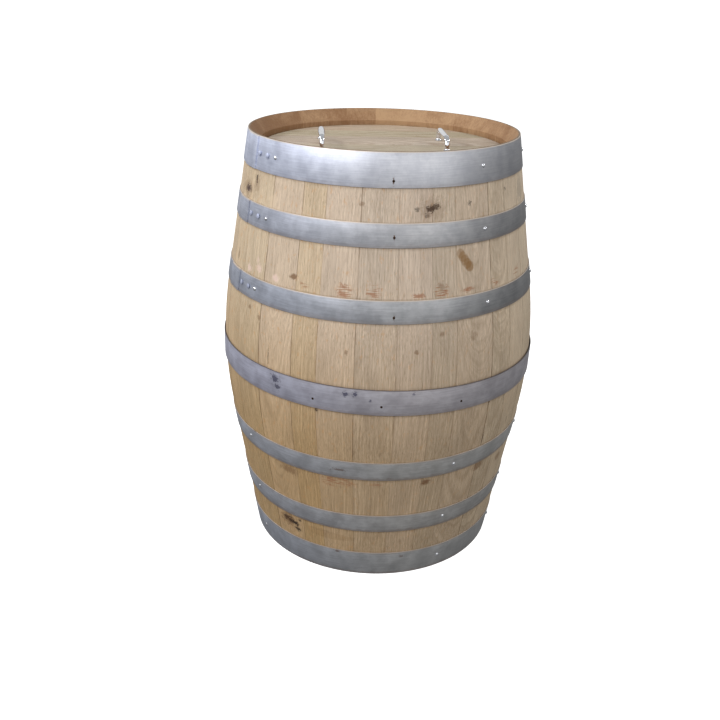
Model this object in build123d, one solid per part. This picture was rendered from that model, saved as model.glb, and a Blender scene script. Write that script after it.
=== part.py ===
"""Oak wine barrel, 225 litre size, opened at one end and given a lift-out head with two pull handles.

Millimetres, +Z up, origin at the centre of the bottom rim. Angles round the barrel are in degrees from
its front (-Y) towards its right side (+X).
"""
from build123d import *
from math import asin, cos, degrees, radians, sin, sqrt, tan
import os

# Driving dimensions of the shell
barrel_height = 950.0       # length of a stave, measured upright
bilge_radius = 352.4        # outside of the staves at mid-height
taper = 9.29                # slope of the straight ends of a stave, degrees
bend_half_height = 150.0    # the bent middle of a stave reaches this far above and below mid-height
stave_thickness = 27.0
rim_flat = 2.5              # flat left at the outer edge of a stave's end
chime_depth = 26.0          # height of the bevel cut inside each end
seam_ease = 0.8             # eased outer corner of a stave
first_seam = -58.0          # angle of the seam where stave_01 starts
stave_widths = [13.7, 14.8, 9.5, 13.0, 13.5, 12.0, 9.0, 15.5, 10.0, 11.0, 14.0, 12.6, 15.2, 11.8,
                14.4, 10.2, 16.1, 12.9, 13.3, 14.7, 11.0, 15.8, 12.2, 14.0, 11.4, 13.1, 13.8, 11.5]

# Heads and the groove (croze) that holds the lower one
head_thickness = 22.0
head_recess = 35.0          # from the end of the barrel to the face of the head
croze_width = 8.0
croze_depth = 5.0
head_bevel = 10.0           # width of the bevel round the lifting head
head_bevel_drop = 3.0
board_ease = 0.6            # eased top corner of a head board
lid_boards = [70.0, 92.0, 84.0, 101.0, 78.0, 100.0]
base_boards = [96.0, 118.0, 102.0, 124.0, 102.0]
lid_clearance = 1.5         # radial gap between the lid and the narrowest part of the chime
base_turn = 20.0            # direction of the lower boards
lid_turn = 5.0              # direction of the lid's boards

# Hoops: flat steel strip, ends lapped and riveted
hoop_thickness = 1.8
hoop_gap = 0.1              # paint-thin gap between a hoop and the staves
head_hoop_start = 0.5       # hoop edge to the end of the barrel
head_hoop_width = 64.5
quarter_hoop_start = 129.0
quarter_hoop_width = 46.0
bilge_hoop_start = 274.5
bilge_hoop_width = 45.5
belly_hoop_width = 56.0
belly_hoop_drop = 7.5       # the belly hoop's middle sits this far below mid-height
belly_hoop_gap = 1.2        # the belly hoop has worked loose ...
belly_hoop_tilt = 1.1       # ... and sits askew, up on the left and down on the right, degrees
lap_length = 56.0
rivet_spacing = 30.0

# Fasteners
screw_radius, screw_length, screw_head_radius, screw_head_height = 2.0, 18.0, 4.4, 2.8
nail_radius, nail_length, nail_head_radius, nail_head_height = 1.3, 20.0, 2.6, 0.8
rivet_radius, rivet_head_radius, rivet_head_height = 3.0, 5.2, 1.3
hole_clearance = 0.1

# Lid fittings
handle_centres = 128.0      # between the two legs of one handle
handle_spread = 259.5       # between the two handles
handle_off = (-4.3, -16.0)  # the handles' middle from the lid's middle: set a little to the left and front
handle_height = 30.0
handle_leg_width = 10.5
handle_grip_width = 16.0    # the bow widens towards its middle
handle_strap = 8.0          # thickness of the bow
handle_bend = 17.0          # radius of the bow's corners, at the middle of the strap
handle_round = 2.4          # rounding of the bow's edges
foot_radius, foot_height = 8.0, 3.0
batten_width, batten_thickness, batten_length = 44.0, 18.0, 380.0
handle_screw_radius, handle_screw_bite = 2.4, 14.0
batten_screw_radius, batten_screw_bite = 2.0, 14.0
batten_screw_places = (-150.0, -105.0, 0.0, 105.0, 150.0)
dowel_radius, dowel_length, dowel_place = 4.0, 40.0, 52.0
cleat_width, cleat_height, cleat_reach = 60.0, 40.0, 22.0
cleat_screw_spread, cleat_screw_length = 34.0, 36.0

# Bung, plugged flush and hidden by the belly hoop
bung_stave = 22
bung_radius, bung_taper, bung_sink = 24.0, 2.0, 1.2

mid_height = barrel_height / 2
slope = tan(radians(taper))
bend_radius = bend_half_height / sin(radians(taper))
wall_across = stave_thickness / cos(radians(taper))     # thickness measured level, on the straight ends
wall_normal_rise = stave_thickness * sin(radians(taper))


def outer_radius(z):
    """Radius of the staves' outside at height z: an arc in the middle, straight cones to the ends."""
    away = abs(z - mid_height)
    bent = min(away, bend_half_height)
    drop = bend_radius - sqrt(bend_radius**2 - bent**2)
    return bilge_radius - drop - max(away - bend_half_height, 0) * slope


def outer_slope(z):
    """Change of the outer radius with height."""
    away = max(-bend_half_height, min(bend_half_height, z - mid_height))
    return -away / sqrt(bend_radius**2 - away**2)


def inner_radius(z):
    """Radius of the straight inner wall near either end."""
    return outer_radius(z) - wall_across


chime_radius = inner_radius(chime_depth)                # the narrowest place, under the bevel
croze_middle = head_recess + head_thickness / 2
groove_radius = inner_radius(croze_middle) + croze_depth
lid_radius = chime_radius - lid_clearance
lid_top = barrel_height - head_recess
lid_bottom = lid_top - head_thickness
base_bottom, base_top = head_recess, head_recess + head_thickness


def spin(outline, arc=360.0, start=0.0):
    """Turn an outline, drawn as radius and height, round the barrel's axis from the angle start."""
    return Rot(0, 0, start - 90) * revolve(Plane.XZ * outline, axis=Axis.Z, revolution_arc=arc)


def around(angle, shape):
    """Carry a shape made on the +X side to its angle round the barrel."""
    return Rot(0, 0, angle - 90) * shape


def inner_end(top):
    """Points down the inside of one end of a stave, from the rim to past the croze groove."""
    marks = [(outer_radius(0) - rim_flat, 0), (chime_radius, chime_depth),
             (inner_radius(croze_middle - croze_width / 2), croze_middle - croze_width / 2),
             (groove_radius, croze_middle - croze_width / 2),
             (groove_radius, croze_middle + croze_width / 2),
             (inner_radius(croze_middle + croze_width / 2), croze_middle + croze_width / 2)]
    return [(r, barrel_height - z) for r, z in marks] if top else marks


def bend_points(offset):
    """Start, middle and end of the bent stretch of a stave, offset inwards."""
    reach = (bend_radius - offset) * sin(radians(taper))
    radius = bilge_radius - bend_radius + (bend_radius - offset) * cos(radians(taper))
    return [(radius, mid_height - reach), (bilge_radius - offset, mid_height), (radius, mid_height + reach)]


def stave_outline():
    """Outline of a stave in the plane through the barrel's axis."""
    outside, inside = bend_points(0), bend_points(stave_thickness)
    bottom, top = inner_end(False), inner_end(True)
    foot, crown = (outer_radius(0), 0), (outer_radius(0), barrel_height)
    edges = [Line(foot, outside[0]), ThreePointArc(*outside), Line(outside[2], crown),
             Polyline(crown, *top, inside[2]), ThreePointArc(*reversed(inside)),
             Polyline(inside[0], *reversed(bottom), foot)]
    return make_face(Wire(Curve() + edges))


def stave(outline, start, width):
    """One stave: a wedge of the shell with its two outer corners eased."""
    body = spin(outline, width, start)
    sides = [radians(start - 90), radians(start + width - 90)]
    corners = []
    for edge in body.edges():
        middle = edge.position_at(0.5)
        radius = sqrt(middle.X**2 + middle.Y**2)
        on_side = any(abs(middle.X * sin(a) - middle.Y * cos(a)) < 0.01 for a in sides)
        if on_side and edge.length > 100 and radius > outer_radius(middle.Z) - 0.5:
            corners.append(edge)
    return chamfer(corners, seam_ease)


# One row for each hoop: name, lower edge, width, angle of its lap, angles of its screws, angles of its
# nails, height of the nails as a share of the width
back_upper, back_lower = [131, 176, 222, 262], [76, 121, 166, 211, 256]
hoops = [
    ("hoop_head_bottom", head_hoop_start, head_hoop_width, 141, [-58, 31.6] + back_lower,
     [94, 184, 274], 0.24),
    ("hoop_quarter_bottom", quarter_hoop_start, quarter_hoop_width, 144, [-56.2, 30.3] + back_lower,
     [94, 184, 274], 0.24),
    ("hoop_bilge_bottom", bilge_hoop_start, bilge_hoop_width, 147, [-54.4, 30.7] + back_lower,
     [94, 184, 274], 0.24),
    ("hoop_belly", mid_height - belly_hoop_drop - belly_hoop_width / 2, belly_hoop_width, 150, [],
     [-20.7, 2.2, 29.8, 92, 205, 250], 0.35),
    ("hoop_bilge_top", barrel_height - bilge_hoop_start - bilge_hoop_width, bilge_hoop_width, -55.3,
     [-48.7, 40.6, 83] + back_upper, [5.3, 97, 198], 0.29),
    ("hoop_quarter_top", barrel_height - quarter_hoop_start - quarter_hoop_width, quarter_hoop_width,
     -54.4, [-46.8, 40.6, 83] + back_upper, [4.8, 97, 198], 0.43),
    ("hoop_head_top", barrel_height - head_hoop_start - head_hoop_width, head_hoop_width, -53,
     [-45.2, 41, 83] + back_upper, [4.1, 97, 198], 0.2),
]


def hoop_radius(name, low, width, z):
    """Inner radius of a hoop at height z: a straight cone that fits the staves at its middle."""
    middle = low + width / 2
    gap = belly_hoop_gap if name == "hoop_belly" else hoop_gap
    return outer_radius(middle) + gap + outer_slope(middle) * (z - middle)


def askew(name, shape):
    """Tip whatever belongs to the belly hoop about the hoop's middle; leave the rest level."""
    middle = mid_height - belly_hoop_drop
    tip = Pos(0, 0, middle) * Rot(0, belly_hoop_tilt, 0) * Pos(0, 0, -middle)
    return tip * shape if name == "hoop_belly" else shape


def strip_outline(name, low, width, layer):
    """Section of a hoop's strip; layer 1 is the end that laps over layer 0."""
    inset = layer * hoop_thickness
    near = hoop_radius(name, low, width, low) + inset
    far = hoop_radius(name, low, width, low + width) + inset
    corners = [(near, low), (near + hoop_thickness, low), (far + hoop_thickness, low + width),
               (far, low + width)]
    return make_face(Polyline(*corners, close=True))


def seat(name, low, width, angle, z, layer=0):
    """Place on a hoop's outside, its z direction pointing straight out of the strip."""
    tilt = outer_slope(low + width / 2)
    radius = hoop_radius(name, low, width, z) + (layer + 1) * hoop_thickness
    turn = radians(angle - 90)
    outward = Vector(cos(turn), sin(turn), -tilt)
    return askew(name, Plane(origin=(radius * cos(turn), radius * sin(turn), z), z_dir=outward).location)


def headed_pin(shank, length, head, height):
    """Domed head, part of a ball, standing on the plane z = 0 with its shank below."""
    ball = (head**2 + height**2) / (2 * height)
    half = asin(head / ball) / 2
    rise = ThreePointArc((head, 0), (ball * sin(half), height - ball + ball * cos(half)), (0, height))
    rest = Polyline((0, height), (0, -length), (shank, -length), (shank, 0), (head, 0))
    return revolve(Plane.XZ * make_face(Wire(Curve() + [rise, rest])), axis=Axis.Z)


def drill(radius, length):
    """Tool for a hole that starts above the plane z = 0."""
    return Pos(0, 0, -length / 2 + 2) * Cylinder(radius + hole_clearance, length + 4)


def lap_span(low, width, lap):
    """Start angle and arc of a hoop's lapped end."""
    arc = degrees(lap_length / outer_radius(low + width / 2))
    return lap - arc / 2, arc


def hoop_seats():
    """Every fastener on the hoops: its kind, hoop, angle and seat."""
    seats = []
    for name, low, width, lap, screws, nails, share in hoops:
        middle = low + width / 2
        half = degrees(rivet_spacing / 2 / outer_radius(middle))
        spots = [("rivet", lap + side, middle, 1) for side in (-half, half)]
        spots += [("screw", angle, middle, 0) for angle in screws]
        spots += [("nail", angle, low + share * width, 0) for angle in nails]
        for kind, angle, z, layer in spots:
            seats.append((kind, name, angle, seat(name, low, width, angle, z, layer)))
    return seats


pins = {
    "rivet": (rivet_radius, 2 * hoop_thickness, rivet_head_radius, rivet_head_height),
    "screw": (screw_radius, screw_length, screw_head_radius, screw_head_height),
    "nail": (nail_radius, nail_length, nail_head_radius, nail_head_height),
}


def make_hoops(seats):
    """The seven hoops, each one strip with a lapped end, drilled for its own fasteners."""
    made = {}
    for name, low, width, lap, screws, nails, share in hoops:
        start, arc = lap_span(low, width, lap)
        ring = spin(strip_outline(name, low, width, 0)) + spin(strip_outline(name, low, width, 1), arc, start)
        ring = askew(name, ring)
        for kind, owner, angle, place in seats:
            if owner == name:
                ring -= place * drill(pins[kind][0], pins[kind][1] + 2)
        made[name] = ring
    return made


def make_fasteners(seats):
    """Hoop rivets, screws and nails, one group of each."""
    groups = {}
    for kind in pins:
        one = headed_pin(*pins[kind])
        groups["hoop_" + kind + "s"] = Compound([place * one for k, n, a, place in seats if k == kind])
    return groups


def cleat_angles():
    """The lid's four cleats, square to the lid's boards so that they clear the battens."""
    return [90 * i + 90 - lid_turn for i in range(4)]


def cleat_seats():
    """Seats of the two screws in each cleat, on the face towards the barrel's axis."""
    reach = inner_radius(lid_bottom) - cleat_reach
    height = lid_bottom - cleat_height / 2
    apart = cleat_screw_spread / 2
    flat = [Plane(origin=(reach, y, height), z_dir=(-1, 0, 0)) for y in (-apart, apart)]
    return [(angle, around(angle, plane.location)) for angle in cleat_angles() for plane in flat]


def make_cleats():
    """Oak blocks screwed inside the staves, on which the lid rests."""
    reach = inner_radius(lid_bottom) - cleat_reach
    low = lid_bottom - cleat_height
    wall = [(0, low), (inner_radius(low) - hoop_gap, low),
            (inner_radius(lid_bottom) - hoop_gap, lid_bottom), (0, lid_bottom)]
    room = spin(make_face(Polyline(*wall, close=True)))
    block = Pos(reach + 30, 0, low + cleat_height / 2) * Box(60, cleat_width, cleat_height)
    cleats = [around(angle, block) & room for angle in cleat_angles()]
    screws = []
    one = headed_pin(screw_radius, cleat_screw_length, screw_head_radius, screw_head_height)
    for angle, place in cleat_seats():
        screws.append(place * one)
        tool = place * drill(screw_radius, cleat_screw_length)
        cleats = [block - tool for block in cleats]
    return {"lid_cleats": Compound([c.solid() for c in cleats]), "cleat_screws": Compound(screws)}


def bung_plug(clearance=0.0, longer=0.0):
    """Tapered plug behind the belly hoop; its hole is wider by the clearance and longer at both ends."""
    grow = bung_taper * longer / stave_thickness
    plug = Cone(bung_radius - bung_taper + clearance - grow, bung_radius + clearance + grow,
                stave_thickness + 2 * longer)
    middle = first_seam + sum(stave_widths[:bung_stave]) - stave_widths[bung_stave - 1] / 2
    rise = bilge_radius * sin(radians(middle)) * tan(radians(belly_hoop_tilt))
    height = mid_height - belly_hoop_drop - rise
    out = outer_radius(height) - bung_sink - stave_thickness / 2
    return around(middle, Pos(out, 0, height) * Rot(0, 90, 0) * plug)


def make_staves(seats):
    """All the staves, drilled for the hoop screws and nails, the cleat screws and the bung."""
    outline = stave_outline()
    tools = [(angle, place * drill(*pins[kind][:2])) for kind, name, angle, place in seats if kind != "rivet"]
    tools += [(angle, place * drill(screw_radius, cleat_screw_length)) for angle, place in cleat_seats()]
    made, start = {}, first_seam
    for index, width in enumerate(stave_widths, 1):
        one = stave(outline, start, width)
        for angle, tool in tools:
            if abs((angle - start - width / 2 + 180) % 360 - 180) < width / 2 + 6:
                one -= tool
        if index == bung_stave:
            one -= bung_plug(hole_clearance, 3)
        made[f"stave_{index:02d}"] = one
        start += width
    return made


def board_rows(widths, radius):
    """Lower edge and width of each board, scaled to fill the head."""
    scale = 2 * radius / sum(widths)
    rows, edge = [], -radius
    for width in widths:
        rows.append((edge, width * scale))
        edge += width * scale
    return rows


def dowel_spots(rows, middle):
    """Middle of each dowel, two in every joint between boards."""
    return [(side * dowel_place, edge, middle) for edge, width in rows[1:] for side in (-1, 1)]


def make_head(name, disc, rows, middle, drills):
    """Boards cut from one disc, with their dowels; drills are holes through the boards."""
    radius = dowel_radius + hole_clearance
    spots = dowel_spots(rows, middle)
    holes = [Pos(*spot) * Rot(90, 0, 0) * Cylinder(radius, dowel_length + 1) for spot in spots]
    boards = {}
    for index, (edge, width) in enumerate(rows, 1):
        board = disc & Pos(0, edge + width / 2, middle) * Box(2000, width, 100)
        seams = [e for e in board.edges() if e.geom_type == GeomType.LINE and e.length > 150
                 and abs(e.position_at(0.5).Z - middle - head_thickness / 2) < 0.01]
        board = chamfer(seams, board_ease)
        for tool in holes + drills:
            board -= tool
        boards[f"{name}_board_{index}"] = board
    pegs = [Pos(*spot) * Rot(90, 0, 0) * Cylinder(dowel_radius, dowel_length) for spot in spots]
    boards[f"{name}_dowels"] = Compound(pegs)
    return boards


def make_base():
    """The lower head: boards with a bevelled edge thinned to a tongue that fits the croze."""
    tongue = croze_width / 2 - hole_clearance
    rim = groove_radius - 0.3
    tuck = inner_radius(croze_middle) - 2
    back = tuck - 16
    low, high = croze_middle - tongue, croze_middle + tongue
    edge = [(0, base_bottom), (back, base_bottom), (tuck, low), (rim, low),
            (rim, high), (tuck, high), (back, base_top), (0, base_top)]
    disc = spin(make_face(Polyline(*edge, close=True)))
    head = make_head("base", disc, board_rows(base_boards, rim), croze_middle, [])
    return {name: Rot(0, 0, base_turn) * shape for name, shape in head.items()}


def handle():
    """Chrome bow handle standing on the plane z = 0: a side view along Y cut with a plan that widens."""
    half, strap = handle_centres / 2, handle_strap / 2
    outlines = []
    for grow in (strap, -strap):
        reach, top = half + grow, handle_height - strap + grow
        bow_line = Polyline((-reach, 0), (-reach, top), (reach, top), (reach, 0), close=True)
        side = Plane.YZ * make_face(bow_line)
        outlines.append(fillet(side.vertices().group_by(Axis.Z)[-1], handle_bend + grow))
    bow = extrude(outlines[0] - outlines[1], handle_grip_width, both=True)
    legs, grip, end = handle_leg_width / 2, handle_grip_width / 2, half + strap + 5
    plan = Curve() + [ThreePointArc((legs, -end), (grip, 0), (legs, end)), Line((legs, end), (-legs, end)),
                      ThreePointArc((-legs, end), (-grip, 0), (-legs, -end)),
                      Line((-legs, -end), (legs, -end))]
    bow &= extrude(make_face(Wire(plan)), handle_height)
    bow = fillet([e for e in bow.edges() if e.center().Z > 0.01 and abs(e.center().X) > 1], handle_round)
    for side in (-half, half):
        bow += Pos(0, side, foot_height / 2) * Cone(foot_radius, strap + 1, foot_height)
        bow -= Pos(0, side, handle_screw_bite / 2) * Cylinder(handle_screw_radius + hole_clearance,
                                                              handle_screw_bite + 1)
    return bow


def screw_up(radius, length, x, y, low):
    """Screw driven upwards, its head under the height low."""
    return Pos(x, y, low) * Rot(180, 0, 0) * headed_pin(radius, length, radius * 2, radius)


def hole_up(radius, length, x, y, low):
    """Hole for a screw driven upwards from the height low."""
    return Pos(x, y, low + length / 2 - 0.5) * Cylinder(radius + hole_clearance, length + 1)


def make_lid():
    """The lifting head: boards, two battens beneath, two handles and their screws."""
    edge = [(0, lid_bottom), (lid_radius, lid_bottom), (lid_radius, lid_top - head_bevel_drop),
            (lid_radius - head_bevel, lid_top), (0, lid_top)]
    disc = spin(make_face(Polyline(*edge, close=True)))
    under = lid_bottom - batten_thickness
    through = batten_thickness + head_thickness
    deep = batten_thickness + batten_screw_bite
    rows = {"left": handle_off[0] - handle_spread / 2, "right": handle_off[0] + handle_spread / 2}
    ends = [handle_off[1] - handle_centres / 2, handle_off[1] + handle_centres / 2]
    places = [(x, y) for x in rows.values() for y in ends]
    fixings = [(x, y) for x in rows.values() for y in batten_screw_places]
    drills = [hole_up(handle_screw_radius, through, x, y, under) for x, y in places]
    drills += [hole_up(batten_screw_radius, deep, x, y, under) for x, y in fixings]
    lid = make_head("lid", disc, board_rows(lid_boards, lid_radius), (lid_top + lid_bottom) / 2, drills)
    for hand, across in rows.items():
        bar = Box(batten_width, batten_length, batten_thickness)
        batten = Pos(across, 0, lid_bottom - batten_thickness / 2) * bar
        batten = chamfer(batten.edges().filter_by(Axis.Y).group_by(Axis.Z)[0], 4)
        for tool in drills:
            batten -= tool
        lid["lid_batten_" + hand] = batten
        lid["handle_" + hand] = Pos(across, handle_off[1], lid_top) * handle()
    bite = through + handle_screw_bite - 1
    lid["handle_screws"] = Compound([screw_up(handle_screw_radius, bite, x, y, under) for x, y in places])
    lid["batten_screws"] = Compound([screw_up(batten_screw_radius, deep, x, y, under) for x, y in fixings])
    return {name: Rot(0, 0, lid_turn) * shape for name, shape in lid.items()}


def main():
    seats = hoop_seats()
    nodes = make_staves(seats) | make_hoops(seats) | make_fasteners(seats)
    nodes |= make_base() | make_lid() | make_cleats()
    nodes["bung"] = bung_plug()
    os.makedirs("parts", exist_ok=True)
    for name, shape in nodes.items():
        export_step(shape, f"parts/{name}.step")
    print(len(nodes), "nodes; end radius", round(outer_radius(0), 2), "lid radius", round(lid_radius, 2))


main()
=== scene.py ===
# %% [markdown]
# An oak wine barrel, finished for the eye
#
# The barrel arrives as measured solids: twenty-eight bent staves, seven steel hoops, a lower head, and a
# lift-out lid with two chromed pull handles. Those solids are the frame. This lesson leaves every size
# alone and gives the barrel what a drawing can't: figured oak, galvanised steel, bright plating and light.

# %% Load the frame
import math
import random

import bpy
from mathutils import Matrix, Vector


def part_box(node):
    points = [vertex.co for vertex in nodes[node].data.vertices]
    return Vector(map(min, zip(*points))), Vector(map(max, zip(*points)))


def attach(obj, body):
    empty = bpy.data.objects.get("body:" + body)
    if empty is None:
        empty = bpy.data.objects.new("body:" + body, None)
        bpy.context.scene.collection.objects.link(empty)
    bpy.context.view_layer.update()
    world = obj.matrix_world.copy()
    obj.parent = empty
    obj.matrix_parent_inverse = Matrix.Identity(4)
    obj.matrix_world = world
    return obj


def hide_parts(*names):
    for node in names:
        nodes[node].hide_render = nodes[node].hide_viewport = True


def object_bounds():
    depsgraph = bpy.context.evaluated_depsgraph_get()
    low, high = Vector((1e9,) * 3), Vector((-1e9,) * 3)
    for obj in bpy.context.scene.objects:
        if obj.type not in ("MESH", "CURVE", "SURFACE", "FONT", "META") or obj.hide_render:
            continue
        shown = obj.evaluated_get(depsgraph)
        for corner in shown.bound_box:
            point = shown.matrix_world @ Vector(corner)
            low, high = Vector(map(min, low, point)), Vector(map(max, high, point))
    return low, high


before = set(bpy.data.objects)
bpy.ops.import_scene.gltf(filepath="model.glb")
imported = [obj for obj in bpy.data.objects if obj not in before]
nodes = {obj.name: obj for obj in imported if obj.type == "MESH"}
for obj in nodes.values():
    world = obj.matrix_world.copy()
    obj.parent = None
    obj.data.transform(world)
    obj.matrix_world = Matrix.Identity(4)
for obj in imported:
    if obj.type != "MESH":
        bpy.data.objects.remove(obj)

cad_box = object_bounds()


def rounded(box):
    """Corners of a box, short enough to print."""
    return [[round(v, 4) for v in corner] for corner in box]


print(len(nodes), "solids loaded; box", rounded(cad_box))

# %% [markdown]
# The camera stands in front of the barrel and a little above it, so that the lid can be seen over the
# near rim. A camera can be aimed with a constraint, but here its axes are worked out from three plain
# angles, because the view leans a touch to one side and a constraint would hide that.

# %% Camera
CAMERA_PLACE = Vector((0.0, -1.8996, 1.2436))
CAMERA_YAW, CAMERA_PITCH, CAMERA_ROLL = -0.0204, 0.4165, 0.0255
LENS, SENSOR_WIDTH = 43.4, 36

level = math.cos(CAMERA_PITCH)
ahead = Vector((math.sin(CAMERA_YAW) * level, math.cos(CAMERA_YAW) * level, -math.sin(CAMERA_PITCH)))
level_right = Vector((math.cos(CAMERA_YAW), -math.sin(CAMERA_YAW), 0))
level_up = level_right.cross(ahead)
lean_right = level_right * math.cos(CAMERA_ROLL) + level_up * math.sin(CAMERA_ROLL)
lean_up = level_up * math.cos(CAMERA_ROLL) - level_right * math.sin(CAMERA_ROLL)

camera_data = bpy.data.cameras.new("camera")
camera_data.lens = LENS
camera_data.sensor_width = SENSOR_WIDTH
camera = bpy.data.objects.new("camera", camera_data)
bpy.context.scene.collection.objects.link(camera)
camera_turn = Matrix((lean_right, lean_up, -ahead)).transposed().to_4x4()
camera.matrix_world = Matrix.Translation(CAMERA_PLACE) @ camera_turn
bpy.context.scene.camera = camera
barrel_middle = Vector((0, 0, cad_box[1][2] / 2))
print("camera", round((CAMERA_PLACE - barrel_middle).length, 3), "m from the barrel's middle")

# %% [markdown]
# Every finish in this lesson is a small tree of shader nodes. Wiring each tree by hand would bury the
# idea under clicks, so a few helpers come first: one adds a node, one feeds a socket with either a wire
# or a plain value, and the others name the steps that come up again and again.

# %% Helpers for wiring finishes
def colour(red, green, blue):
    """Linear colour for the three 0 to 255 values that a paint chart or colour picker shows."""
    parts = [v / 255 for v in (red, green, blue)]
    return tuple(v / 12.92 if v < 0.04045 else ((v + 0.055) / 1.055) ** 2.4 for v in parts) + (1.0,)


def add(tree, kind, **settings):
    made = tree.nodes.new("ShaderNode" + kind)
    for name, value in settings.items():
        setattr(made, name, value)
    return made


def feed(tree, socket, value):
    if isinstance(value, bpy.types.NodeSocket):
        tree.links.new(value, socket)
    else:
        socket.default_value = value


def feed_all(tree, made, values):
    """Feed a node's sockets in order, or by the keys of a dictionary."""
    for key, value in values.items() if isinstance(values, dict) else enumerate(values):
        feed(tree, made.inputs[key], value)
    return made.outputs[0]


def calc(tree, operation, first, second=0.0, third=0.0):
    return feed_all(tree, add(tree, "Math", operation=operation), (first, second, third))


def plus(tree, first, second):
    return calc(tree, "ADD", first, second)


def minus(tree, first, second):
    return calc(tree, "SUBTRACT", first, second)


def times(tree, first, second):
    return calc(tree, "MULTIPLY", first, second)


def times_plus(tree, first, second, third):
    return calc(tree, "MULTIPLY_ADD", first, second, third)


def vector_calc(tree, operation, first, second):
    return feed_all(tree, add(tree, "VectorMath", operation=operation), (first, second))


def span(tree, value, low, high, to_low=0.0, to_high=1.0):
    """Smooth step of a value from one range to another."""
    made = add(tree, "MapRange", interpolation_type="SMOOTHSTEP")
    return feed_all(tree, made, (value, low, high, to_low, to_high))


def blend(tree, share, under, over, mode="MIX"):
    made = add(tree, "Mix", data_type="RGBA", blend_type=mode)
    feed_all(tree, made, {0: share, 6: under, 7: over})
    return made.outputs[2]


def noise(tree, vector, scale, detail=2.0, roughness=0.5, distortion=0.0):
    made = add(tree, "TexNoise")
    feed_all(tree, made, {"Vector": vector, "Scale": scale, "Detail": detail, "Roughness": roughness,
                          "Distortion": distortion})
    return made.outputs["Fac"]


def drawn_noise(tree, place, stretch, detail=2.0, roughness=0.5, distortion=0.0, scale=1.0):
    """Noise drawn out along the axis with the smallest stretch."""
    return noise(tree, vector_calc(tree, "MULTIPLY", place, stretch), scale, detail, roughness, distortion)


def swing(tree, value, size, middle=0.5):
    return times(tree, minus(tree, value, middle), size)


def length_of(tree, x, y):
    squares = plus(tree, times(tree, x, x), times(tree, y, y))
    return calc(tree, "SQRT", squares)


def joined(tree, x, y, z):
    return feed_all(tree, add(tree, "CombineXYZ"), (x, y, z))


def parted(tree, vector):
    made = add(tree, "SeparateXYZ")
    feed(tree, made.inputs[0], vector)
    return made.outputs


def tinted(tree, under, tint):
    return blend(tree, 1.0, under, tint, "MULTIPLY")


def shaded(tree, under, level):
    return tinted(tree, under, joined(tree, level, level, level))


def turned(tree, place, degrees):
    """Turn a place back about the barrel's axis and part it."""
    turn = add(tree, "Mapping")
    feed(tree, turn.inputs["Vector"], place)
    turn.inputs["Rotation"].default_value = (0, 0, -math.radians(degrees))
    return parted(tree, turn.outputs[0])


def finish_with(name):
    """New material with its tree and its shader."""
    material = bpy.data.materials.new(name)
    material.use_nodes = True
    return material, material.node_tree, material.node_tree.nodes["Principled BSDF"]


def bump(tree, shader, height, strength, distance):
    relief = {"Strength": strength, "Distance": distance, "Height": height}
    tree.links.new(feed_all(tree, add(tree, "Bump"), relief), shader.inputs["Normal"])


def dress(node_name, material):
    """Give a solid of the frame its finish."""
    slots = nodes[node_name].data.materials
    slots.clear()
    slots.append(material)


print("helpers ready")

# %% [markdown]
# Oak shows three things at once. Growth rings run as long lines, straight where the board was cut
# towards the tree's heart and arched like a church window where it was cut across. Fine fibres lie along
# the board, and short dark pores open between them. An image of a plank would repeat from stave to stave,
# so the figure is solved in space instead: distance from a tilted heart line gives the rings, and noise
# drawn out along the grain gives fibres and pores. It is built once as a group, and each board then
# chooses its own heart and its own place in the noise.

# %% Oak figure
RING_RATE = 300.0  # noise steps in a metre


def from_heart(tree, value, heart, rise, lean):
    """Distance from a heart line that leans as it rises."""
    return minus(tree, minus(tree, value, heart), times(tree, rise, lean))


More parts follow.
